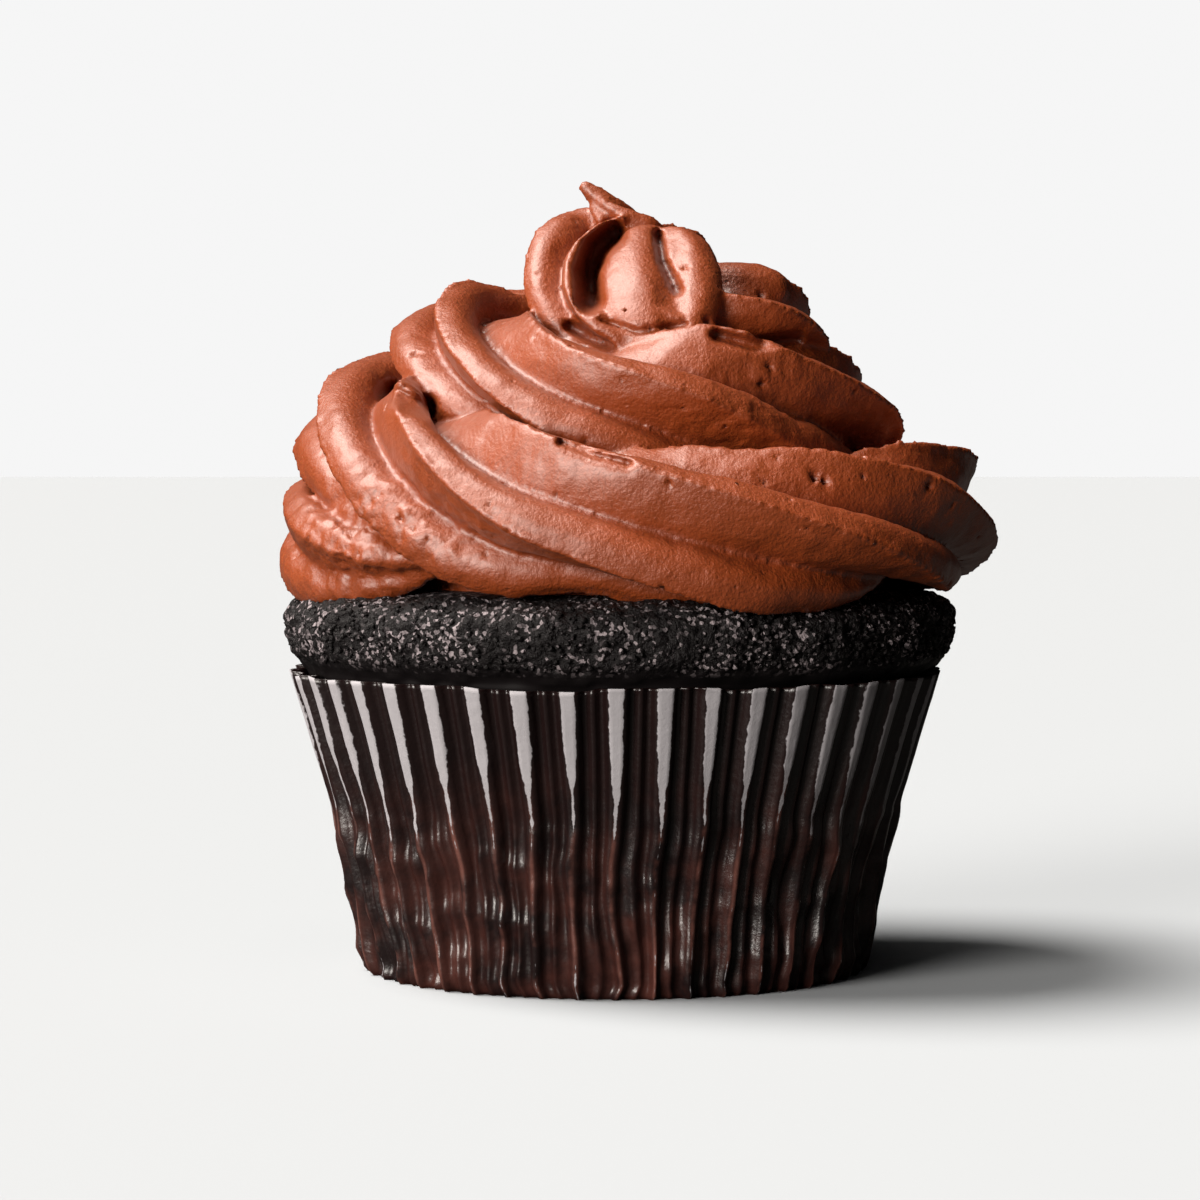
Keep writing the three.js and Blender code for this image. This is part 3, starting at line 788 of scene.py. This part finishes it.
def cocoa_crumb():
    """Moist dark cocoa crumb: matt and open, with greasy glints on the crumb's edges, partly
    painted as pale specks.
    """
    colours = bpy.context.scene.cupcake_colours
    material, tree, shader = new_material("dark_cocoa_crumb")
    place = add_node(tree, "ShaderNodeTexCoord").outputs["Object"]
    height = add_node(tree, "ShaderNodeSeparateXYZ", {0: place}).outputs[2]
    # Below the open crumb the crust that stood against the tin is smooth and plain.
    opened = add_node(tree, "ShaderNodeMapRange", {
        "Value": height, "From Min": 30.9 * MM, "From Max": 32.4 * MM})
    # Pale specks about 0.35 mm wide: painted glints, and also grains of sugar and fat.
    glint_and_grain_cells = add_node(tree, "ShaderNodeTexVoronoi", {"Vector": place, "Scale": 2800.0})
    chance = add_node(tree, "ShaderNodeSeparateColor", {0: glint_and_grain_cells.outputs["Color"]})
    drift = add_node(tree, "ShaderNodeTexNoise", {
        "Vector": place, "Scale": 240.0, "Detail": 2.0})
    mixed = calculate(tree, "MULTIPLY_ADD", drift.outputs[0], 0.9, chance.outputs[0])
    bright = add_node(tree, "ShaderNodeMapRange", {
        "Value": mixed, "From Min": 1.24, "From Max": 1.42})
    share = calculate(tree, "MULTIPLY", bright.outputs[0], opened.outputs[0])
    tone = add_node(tree, "ShaderNodeMix", {
        0: share, 6: tuple(colours.cake), 7: hex_colour("#887e81")},
        data_type="RGBA")
    tree.links.new(tone.outputs[2], shader.inputs["Base Color"])
    pores = add_node(tree, "ShaderNodeTexNoise", {
        "Vector": place, "Scale": 1700.0, "Detail": 3.0, "Roughness": 0.7})
    depth = calculate(tree, "MULTIPLY", pores.outputs[0], opened.outputs[0])
    bump = add_node(tree, "ShaderNodeBump", {
        "Height": depth, "Strength": 1.0, "Distance": 0.0006})
    tree.links.new(bump.outputs[0], shader.inputs["Normal"])
    shader.inputs["Roughness"].default_value = 0.6
    shader.inputs["IOR"].default_value = 1.33
    return material


class CUPCAKE_OT_crumbs(bpy.types.Operator):
    """Scatters loose crumbs over the cake's open edge"""

    bl_idname = "cupcake.crumbs"
    bl_label = "Crumbs"

    def execute(self, context):
        sizes = context.scene.cupcake_sizes
        material = bpy.data.materials["dark_cocoa_crumb"]
        angle = np.linspace(0, 2 * np.pi, 180, endpoint=False)
        points, faces = stacked([
            ring_round(COLLAR_SHIFT, radius, height, angle) for radius, height in CRUMB_BAND])
        faces = [face for face in faces if len(face) == 4]
        crumbs = mesh_object("loose_crumbs", points, faces)
        tree = bpy.data.node_groups.new("Scattered crumbs", "GeometryNodeTree")
        tree.interface.new_socket("Geometry", in_out="INPUT", socket_type="NodeSocketGeometry")
        for name, kind in (("Count", "NodeSocketInt"), ("Size", "NodeSocketFloat"),
                           ("Seed", "NodeSocketInt"), ("Material", "NodeSocketMaterial")):
            tree.interface.new_socket(name, in_out="INPUT", socket_type=kind)
        tree.interface.new_socket("Geometry", in_out="OUTPUT", socket_type="NodeSocketGeometry")
        given = add_node(tree, "NodeGroupInput")
        area = 2 * math.pi * COLLAR_RADIUS * CRUMB_BAND_WIDTH * MM * MM
        density = calculate(tree, "DIVIDE", given.outputs["Count"], area)
        spots = add_node(tree, "GeometryNodeDistributePointsOnFaces", {
            "Mesh": given.outputs["Geometry"], "Density": density,
            "Seed": given.outputs["Seed"]})
        lump = add_node(tree, "GeometryNodeMeshIcoSphere", {"Radius": 0.5, "Subdivisions": 2})
        here = add_node(tree, "GeometryNodeInputPosition")
        rough = add_node(tree, "ShaderNodeTexNoise", {
            "Vector": here.outputs[0], "Scale": 1.7, "Detail": 1.0}, noise_dimensions="3D")
        swing = add_node(tree, "ShaderNodeVectorMath", {0: rough.outputs["Color"],
                         1: (0.5, 0.5, 0.5)}, operation="SUBTRACT")
        lumpy = add_node(tree, "GeometryNodeSetPosition", {
            "Geometry": lump.outputs["Mesh"], "Offset": swing.outputs[0]})
        grow = add_node(tree, "FunctionNodeRandomValue", {
            2: 0.45, 3: 1.5, "Seed": given.outputs["Seed"]}, data_type="FLOAT")
        scale = calculate(tree, "MULTIPLY", grow.outputs[1], given.outputs["Size"])
        turn = add_node(tree, "FunctionNodeRandomValue", {
            0: (0, 0, 0), 1: (6.28, 6.28, 6.28), "Seed": given.outputs["Seed"]},
            data_type="FLOAT_VECTOR")
        placed = add_node(tree, "GeometryNodeInstanceOnPoints", {
            "Points": spots.outputs["Points"], "Instance": lumpy.outputs[0],
            "Rotation": turn.outputs[0], "Scale": scale})
        real = add_node(tree, "GeometryNodeRealizeInstances", {"Geometry": placed.outputs[0]})
        dressed = add_node(tree, "GeometryNodeSetMaterial", {
            "Geometry": real.outputs[0], "Material": given.outputs["Material"]})
        add_node(tree, "NodeGroupOutput", {"Geometry": dressed.outputs[0]})
        run_tree(crumbs, tree, {"Count": sizes.crumbs, "Size": sizes.crumb_size, "Seed": 5,
                                "Material": material})
        finish_piece(crumbs, material)
        return {"FINISHED"}


def run_tree(obj, tree, values):
    """Runs a node tree on the object and keeps the result as a plain mesh."""
    modifier = obj.modifiers.new(tree.name, "NODES")
    modifier.node_group = tree
    for item in tree.interface.items_tree:
        if item.item_type == "SOCKET" and item.in_out == "INPUT" and item.name in values:
            modifier[item.identifier] = values[item.name]
    made_plain(obj)


# ---------------------------------------------------------------- paper case

def case_tree():
    """Geometry nodes that fold the pleated wall."""
    tree = bpy.data.node_groups.new("Pleated case", "GeometryNodeTree")
    tree.interface.new_socket("Geometry", in_out="INPUT", socket_type="NodeSocketGeometry")
    for name, kind in (("Pleats", "NodeSocketInt"), ("Height", "NodeSocketFloat"),
                       ("Foot Radius", "NodeSocketFloat"), ("Rim Radius", "NodeSocketFloat"),
                       ("Depth Base", "NodeSocketFloat"), ("Depth Rim", "NodeSocketFloat"),
                       ("Material", "NodeSocketMaterial")):
        tree.interface.new_socket(name, in_out="INPUT", socket_type=kind)
    tree.interface.new_socket("Geometry", in_out="OUTPUT", socket_type="NodeSocketGeometry")
    given = add_node(tree, "NodeGroupInput").outputs
    columns = calculate(tree, "MULTIPLY", given["Pleats"], COLUMNS_PER_PLEAT)
    edge = calculate(tree, "ADD", columns, 1.0)
    grid = add_node(tree, "GeometryNodeMeshGrid", {
        "Size X": 1.0, "Size Y": 1.0, "Vertices X": edge,
        "Vertices Y": CASE_ROWS + 1})
    here = add_node(tree, "GeometryNodeInputPosition")
    split = add_node(tree, "ShaderNodeSeparateXYZ", {0: here.outputs[0]})
    u = calculate(tree, "ADD", split.outputs[0], 0.5)
    v = calculate(tree, "ADD", split.outputs[1], 0.5)
    pleat = calculate(tree, "MULTIPLY", u, given["Pleats"])
    around = calculate(tree, "MULTIPLY", u, 2 * math.pi)
    cosine = calculate(tree, "COSINE", around)
    sine = calculate(tree, "SINE", around)
    # Ridge radius over the height: rounded foot, steady wall, kink and flare.
    curve = add_node(tree, "ShaderNodeFloatCurve", {"Value": v})
    reach = CASE_RIM_RADIUS - CASE_FOOT_RADIUS
    dots = curve.mapping.curves[0].points
    dots[0].location = (0.0, 0.0)
    dots[1].location = (1.0, 1.0)
    for z, r in CASE_BENDS:
        dot = dots.new(z / CASE_HEIGHT, (r - CASE_FOOT_RADIUS) / reach)
        dot.handle_type = "VECTOR"
    curve.mapping.update()
    ridge = add_node(tree, "ShaderNodeMapRange", {
        "Value": curve.outputs[0], "To Min": given["Foot Radius"], "To Max": given["Rim Radius"]})
    depth = add_node(tree, "ShaderNodeMapRange", {
        "Value": v, "To Min": given["Depth Base"], "To Max": given["Depth Rim"]})
    # Distance from the middle of the ridge, 0 to 0.5 of a pleat.
    shifted = calculate(tree, "ADD", pleat, 0.5)
    share = calculate(tree, "FRACT", shifted)
    centred = calculate(tree, "SUBTRACT", share, 0.5)
    off = calculate(tree, "ABSOLUTE", centred)
    half = add_node(tree, "ShaderNodeMapRange", {"Value": v, "To Min": 0.03, "To Max": 0.17})
    outer = calculate(tree, "ADD", half.outputs[0], 0.15)
    fold = add_node(tree, "ShaderNodeMapRange", {
        "Value": off, "From Min": half.outputs[0], "From Max": outer,
        "To Min": 0.0, "To Max": -1.0}, interpolation_type="SMOOTHSTEP")
    # A broad low fold stands between two ridges.
    broad = add_node(tree, "ShaderNodeMapRange", {
        "Value": off, "From Min": 0.34, "From Max": 0.5,
        "To Min": 0.0, "To Max": 0.5}, interpolation_type="SMOOTHSTEP")
    both = calculate(tree, "ADD", fold.outputs[0], broad.outputs[0])
    dip = calculate(tree, "MULTIPLY", both, depth.outputs[0])
    radius = calculate(tree, "ADD", ridge.outputs[0], dip)
    x = calculate(tree, "MULTIPLY", cosine, radius)
    y = calculate(tree, "MULTIPLY", sine, radius)
    z = calculate(tree, "MULTIPLY", v, given["Height"])
    wall = add_node(tree, "ShaderNodeCombineXYZ", {
        0: x, 1: y, 2: z})
    uv = add_node(tree, "ShaderNodeCombineXYZ", {0: pleat, 1: v})
    stored = add_node(tree, "GeometryNodeStoreNamedAttribute", {
        "Geometry": grid.outputs["Mesh"], "Name": "pleat_place", "Value": uv.outputs[0]},
        data_type="FLOAT2", domain="CORNER")
    shaped = add_node(tree, "GeometryNodeSetPosition", {
        "Geometry": stored.outputs[0], "Position": wall.outputs[0]})
    closed = add_node(tree, "GeometryNodeMergeByDistance", {
        "Geometry": shaped.outputs[0], "Distance": 0.00001})
    real = add_node(tree, "GeometryNodeRealizeInstances", {"Geometry": closed.outputs[0]})
    dressed = add_node(tree, "GeometryNodeSetMaterial", {
        "Geometry": real.outputs[0], "Material": given["Material"]})
    add_node(tree, "NodeGroupOutput", {"Geometry": dressed.outputs[0]})
    return tree


class CUPCAKE_OT_paper_case(bpy.types.Operator):
    """Folds the pleated paper case"""

    bl_idname = "cupcake.paper_case"
    bl_label = "Paper case"

    def execute(self, context):
        sizes = context.scene.cupcake_sizes
        case = mesh_object("pleated_paper_case", np.zeros((1, 3)), [])
        material = baking_paper()
        run_tree(case, case_tree(), {
            "Pleats": sizes.pleats, "Height": CASE_HEIGHT * MM,
            "Foot Radius": CASE_FOOT_RADIUS * MM, "Rim Radius": CASE_RIM_RADIUS * MM,
            "Depth Base": PLEAT_DEPTH_BASE * MM, "Depth Rim": PLEAT_DEPTH_RIM * MM,
            "Material": material})
        crumple(case)
        close_base(case)
        with_modifier(case, "SOLIDIFY", thickness=sizes.paper, offset=-1.0)
        finish_piece(case, material, "paper_case")
        return {"FINISHED"}


def crumple(case):
    """Creases the soaked lower wall and lets its folds wander sideways."""
    p = vertices_of(case.data)
    radius = np.hypot(p[:, 0], p[:, 1])
    angle = np.arctan2(p[:, 1], p[:, 0])
    height = p[:, 2]
    soaked = DRY_CREASING + (1 - DRY_CREASING) * (1 - smoothstep(height, *SOAKED_HEIGHTS))
    soaked *= smoothstep(height, 0.0, 1.6)
    flat = np.stack([CREASE_RING * np.cos(angle), CREASE_RING * np.sin(angle), 0.6 * height], -1)
    creases = sum(depth * (0.5 - np.abs(noise(flat, cell, seed)) * 2)
                  for depth, cell, seed in CREASES)
    sway = layered(flat, SWAYS)
    lean = 0.35 * noise(flat * (1, 1, 0.2), 9.0, 36) * smoothstep(height, 0, 6)
    radius = radius + creases * soaked
    angle = angle + (sway * soaked + lean) / 27
    rise = 0.35 * noise(flat * (1, 1, 0), 3.1, 37) * smoothstep(height, 24, 30)
    points = np.stack([radius * np.cos(angle), radius * np.sin(angle),
                       np.minimum(height + rise, CASE_HEIGHT)], -1)
    move_vertices(case.data, points)


def close_base(case):
    """Fills the open bottom ring with one flat face fan."""
    work = bmesh.new()
    work.from_mesh(case.data)
    rim = [e for e in work.edges if e.is_boundary and max(v.co.z for v in e.verts) < 1e-5]
    bmesh.ops.holes_fill(work, edges=rim)
    bmesh.ops.recalc_face_normals(work, faces=work.faces)
    work.to_mesh(case.data)
    work.free()


def baking_paper():
    """Greaseproof baking paper: dry and chalky on the ridges, soaked dark and greasy between."""
    colours = bpy.context.scene.cupcake_colours
    material, tree, shader = new_material("greaseproof_baking_paper")
    place = add_node(tree, "ShaderNodeTexCoord").outputs["Object"]
    uv = add_node(tree, "ShaderNodeUVMap", uv_map="pleat_place")
    split = add_node(tree, "ShaderNodeSeparateXYZ", {0: uv.outputs[0]})
    up = split.outputs[1]
    shifted = calculate(tree, "ADD", split.outputs[0], 0.5)
    share = calculate(tree, "FRACT", shifted)
    centred = calculate(tree, "SUBTRACT", share, 0.5)
    number = calculate(tree, "FLOOR", shifted)
    luck = add_node(tree, "ShaderNodeTexWhiteNoise", {"W": number},
                    noise_dimensions="1D")
    fortune = add_node(tree, "ShaderNodeSeparateColor", {0: luck.outputs["Color"]})
    # Each dry strip stands a little to one side of its ridge.
    aside = calculate(tree, "MULTIPLY_ADD", fortune.outputs[1], 0.05, -0.025)
    placed = calculate(tree, "ADD", centred, aside)
    off = calculate(tree, "ABSOLUTE", placed)
    # Half width of the strip up the wall: a thread, a taper, then an even band.
    low = calculate(tree, "MULTIPLY_ADD", fortune.outputs[0], 0.10, -0.05)
    height = calculate(tree, "SUBTRACT", up, low)
    taper = add_node(tree, "ShaderNodeFloatCurve", {"Value": height})
    dots = taper.mapping.curves[0].points
    dots[0].location = (0.0, 0.0)
    dots[1].location = (1.0, STRIP_TOP)
    for at, wide in STRIP_TAPER:
        dots.new(at, wide)
    taper.mapping.update()
    room = calculate(tree, "MULTIPLY_ADD", fortune.outputs[2], 0.06, 0.17)
    width = calculate(tree, "MULTIPLY", taper.outputs[0], room)
    edge = add_node(tree, "ShaderNodeTexNoise", {
        "Vector": place, "Scale": 800.0, "Detail": 3.0, "Roughness": 0.65})
    ragged = calculate(tree, "MULTIPLY_ADD", edge.outputs[0], 0.13, -0.065)
    gap = calculate(tree, "ADD", off, ragged)
    spare = calculate(tree, "SUBTRACT", width, gap)
    dry = add_node(tree, "ShaderNodeMapRange", {
        "Value": spare, "From Min": -0.010, "From Max": 0.014},
        interpolation_type="SMOOTHSTEP")
    # Soaked paper: near black above, brown blotches below, and paler along the ridges, partly
    # paper rubbed paler and partly a painted highlight.
    blotch = add_node(tree, "ShaderNodeTexNoise", {
        "Vector": place, "Scale": 150.0, "Detail": 4.0, "Roughness": 0.65})
    below = add_node(tree, "ShaderNodeMapRange", {
        "Value": up, "From Min": 0.78, "From Max": 0.30, "To Min": 0.05, "To Max": 1.0})
    strength = add_node(tree, "ShaderNodeMapRange", {
        "Value": blotch.outputs[0], "From Min": 0.40, "From Max": 0.66})
    brown = calculate(tree, "MULTIPLY", strength.outputs[0], below.outputs[0])
    wet = add_node(tree, "ShaderNodeMix", {
        0: brown, 6: hex_colour("#160c0c"), 7: tuple(colours.soaked)},
        data_type="RGBA")
    # Paler along the ridges: a painted highlight on the folds, together with paper rubbed paler
    # there.
    thread = add_node(tree, "ShaderNodeMapRange", {
        "Value": off, "From Min": 0.02, "From Max": 0.07, "To Min": 0.8,
        "To Max": 0.0})
    rubbed_and_lit = calculate(tree, "MULTIPLY", thread.outputs[0], strength.outputs[0])
    worn_and_lit = add_node(tree, "ShaderNodeMix", {
        0: rubbed_and_lit, 6: wet.outputs[2], 7: hex_colour("#6b443c")},
        data_type="RGBA")
    tone = add_node(tree, "ShaderNodeMix", {
        0: dry.outputs[0], 6: worn_and_lit.outputs[2], 7: tuple(colours.dry)}, data_type="RGBA")
    tree.links.new(tone.outputs[2], shader.inputs["Base Color"])
    greasy = add_node(tree, "ShaderNodeMapRange", {
        "Value": dry.outputs[0], "To Min": 0.30, "To Max": 0.75})
    tree.links.new(greasy.outputs[0], shader.inputs["Roughness"])
    fibres = add_node(tree, "ShaderNodeTexNoise", {
        "Vector": place, "Scale": 1300.0, "Detail": 4.0, "Roughness": 0.65})
    bump = add_node(tree, "ShaderNodeBump", {
        "Height": fibres.outputs[0], "Strength": 0.35, "Distance": 0.0002})
    tree.links.new(bump.outputs[0], shader.inputs["Normal"])
    shader.inputs["IOR"].default_value = 1.47
    return material


# ---------------------------------------------------------------- stage

class CUPCAKE_OT_stage(bpy.types.Operator):
    """Sets the pale floor, the lights and the camera"""

    bl_idname = "cupcake.stage"
    bl_label = "Stage"

    def execute(self, context):
        scene = context.scene
        side = FLOOR_REACH
        floor = mesh_object("studio_floor", [(-side, -side, 0), (side, -side, 0),
                                             (side, side, 0), (-side, side, 0)], [(0, 1, 2, 3)])
        material, tree, shader = new_material("white_studio_floor")
        sight = add_node(tree, "ShaderNodeLightPath").outputs["Is Camera Ray"]
        # Pale to the eye, while it throws little light back up.
        pale = add_node(tree, "ShaderNodeMix", {
            0: sight, 6: hex_colour("#232221"), 7: hex_colour("#a9aeb3")}, data_type="RGBA")
        tree.links.new(pale.outputs[2], shader.inputs["Base Color"])
        shader.inputs["Roughness"].default_value = 0.9
        floor.data.materials.append(material)

        world = bpy.data.worlds.new("Studio")
        world.use_nodes = True
        tree = world.node_tree
        back = tree.nodes["Background"]
        back.inputs["Color"].default_value = hex_colour("#ffffff")
        # The wall behind looks pale, while little of its light reaches the cupcake.
        sight = add_node(tree, "ShaderNodeLightPath").outputs["Is Camera Ray"]
        strength = add_node(tree, "ShaderNodeMapRange", {
            "Value": sight, "To Min": WALL_TO_THE_REST, "To Max": WALL_TO_THE_EYE})
        tree.links.new(strength.outputs[0], back.inputs["Strength"])
        scene.world = world

        for name, toward, spread, power in LAMPS:
            light = bpy.data.lights.new(name, "SUN")
            light.angle = math.radians(spread)
            light.energy = power
            light.color = hex_colour(LAMP_COLOUR)[:3]
            lamp = bpy.data.objects.new(name, light)
            lamp.location = Vector(toward) * 0.5
            lamp.rotation_euler = (-Vector(toward)).to_track_quat("-Z", "Y").to_euler()
            scene.collection.objects.link(lamp)

        camera = bpy.data.cameras.new("camera")
        camera.lens = LENS
        camera.sensor_width = SENSOR
        view = bpy.data.objects.new("camera", camera)
        view.location = (VIEW_SIDE * MM, -VIEW_DISTANCE * MM, VIEW_HEIGHT * MM)
        view.rotation_euler = (math.radians(90 - VIEW_TILT), 0, 0)
        scene.collection.objects.link(view)
        scene.camera = view
        scene.view_settings.view_transform = "Standard"
        return {"FINISHED"}


class CUPCAKE_PT_parts(bpy.types.Panel):
    """Lists the cupcake's parts"""

    bl_label = "Cupcake"
    bl_idname = "CUPCAKE_PT_parts"
    bl_space_type = "VIEW_3D"
    bl_region_type = "UI"
    bl_category = "Cupcake"

    def draw(self, context):
        column = self.layout.column()
        for group in (context.scene.cupcake_sizes, context.scene.cupcake_colours):
            for key in group.__annotations__:
                column.prop(group, key)
        for operator in OPERATORS:
            column.operator(operator.bl_idname)


OPERATORS = (CUPCAKE_OT_stage, CUPCAKE_OT_paper_case, CUPCAKE_OT_cake, CUPCAKE_OT_crumbs,
             CUPCAKE_OT_frosting)
CLASSES = (CupcakeSizes, CupcakeColours, *OPERATORS, CUPCAKE_PT_parts)


def register():
    for item in CLASSES:
        bpy.utils.register_class(item)
    bpy.types.Scene.cupcake_sizes = PointerProperty(type=CupcakeSizes)
    bpy.types.Scene.cupcake_colours = PointerProperty(type=CupcakeColours)


def unregister():
    del bpy.types.Scene.cupcake_colours
    del bpy.types.Scene.cupcake_sizes
    for item in reversed(CLASSES):
        bpy.utils.unregister_class(item)


def main():
    """Builds every part in order."""
    register()
    bpy.ops.cupcake.stage()
    bpy.ops.cupcake.paper_case()
    bpy.ops.cupcake.cake()
    bpy.ops.cupcake.crumbs()
    bpy.ops.cupcake.frosting()


if __name__ == "__main__":
    main()
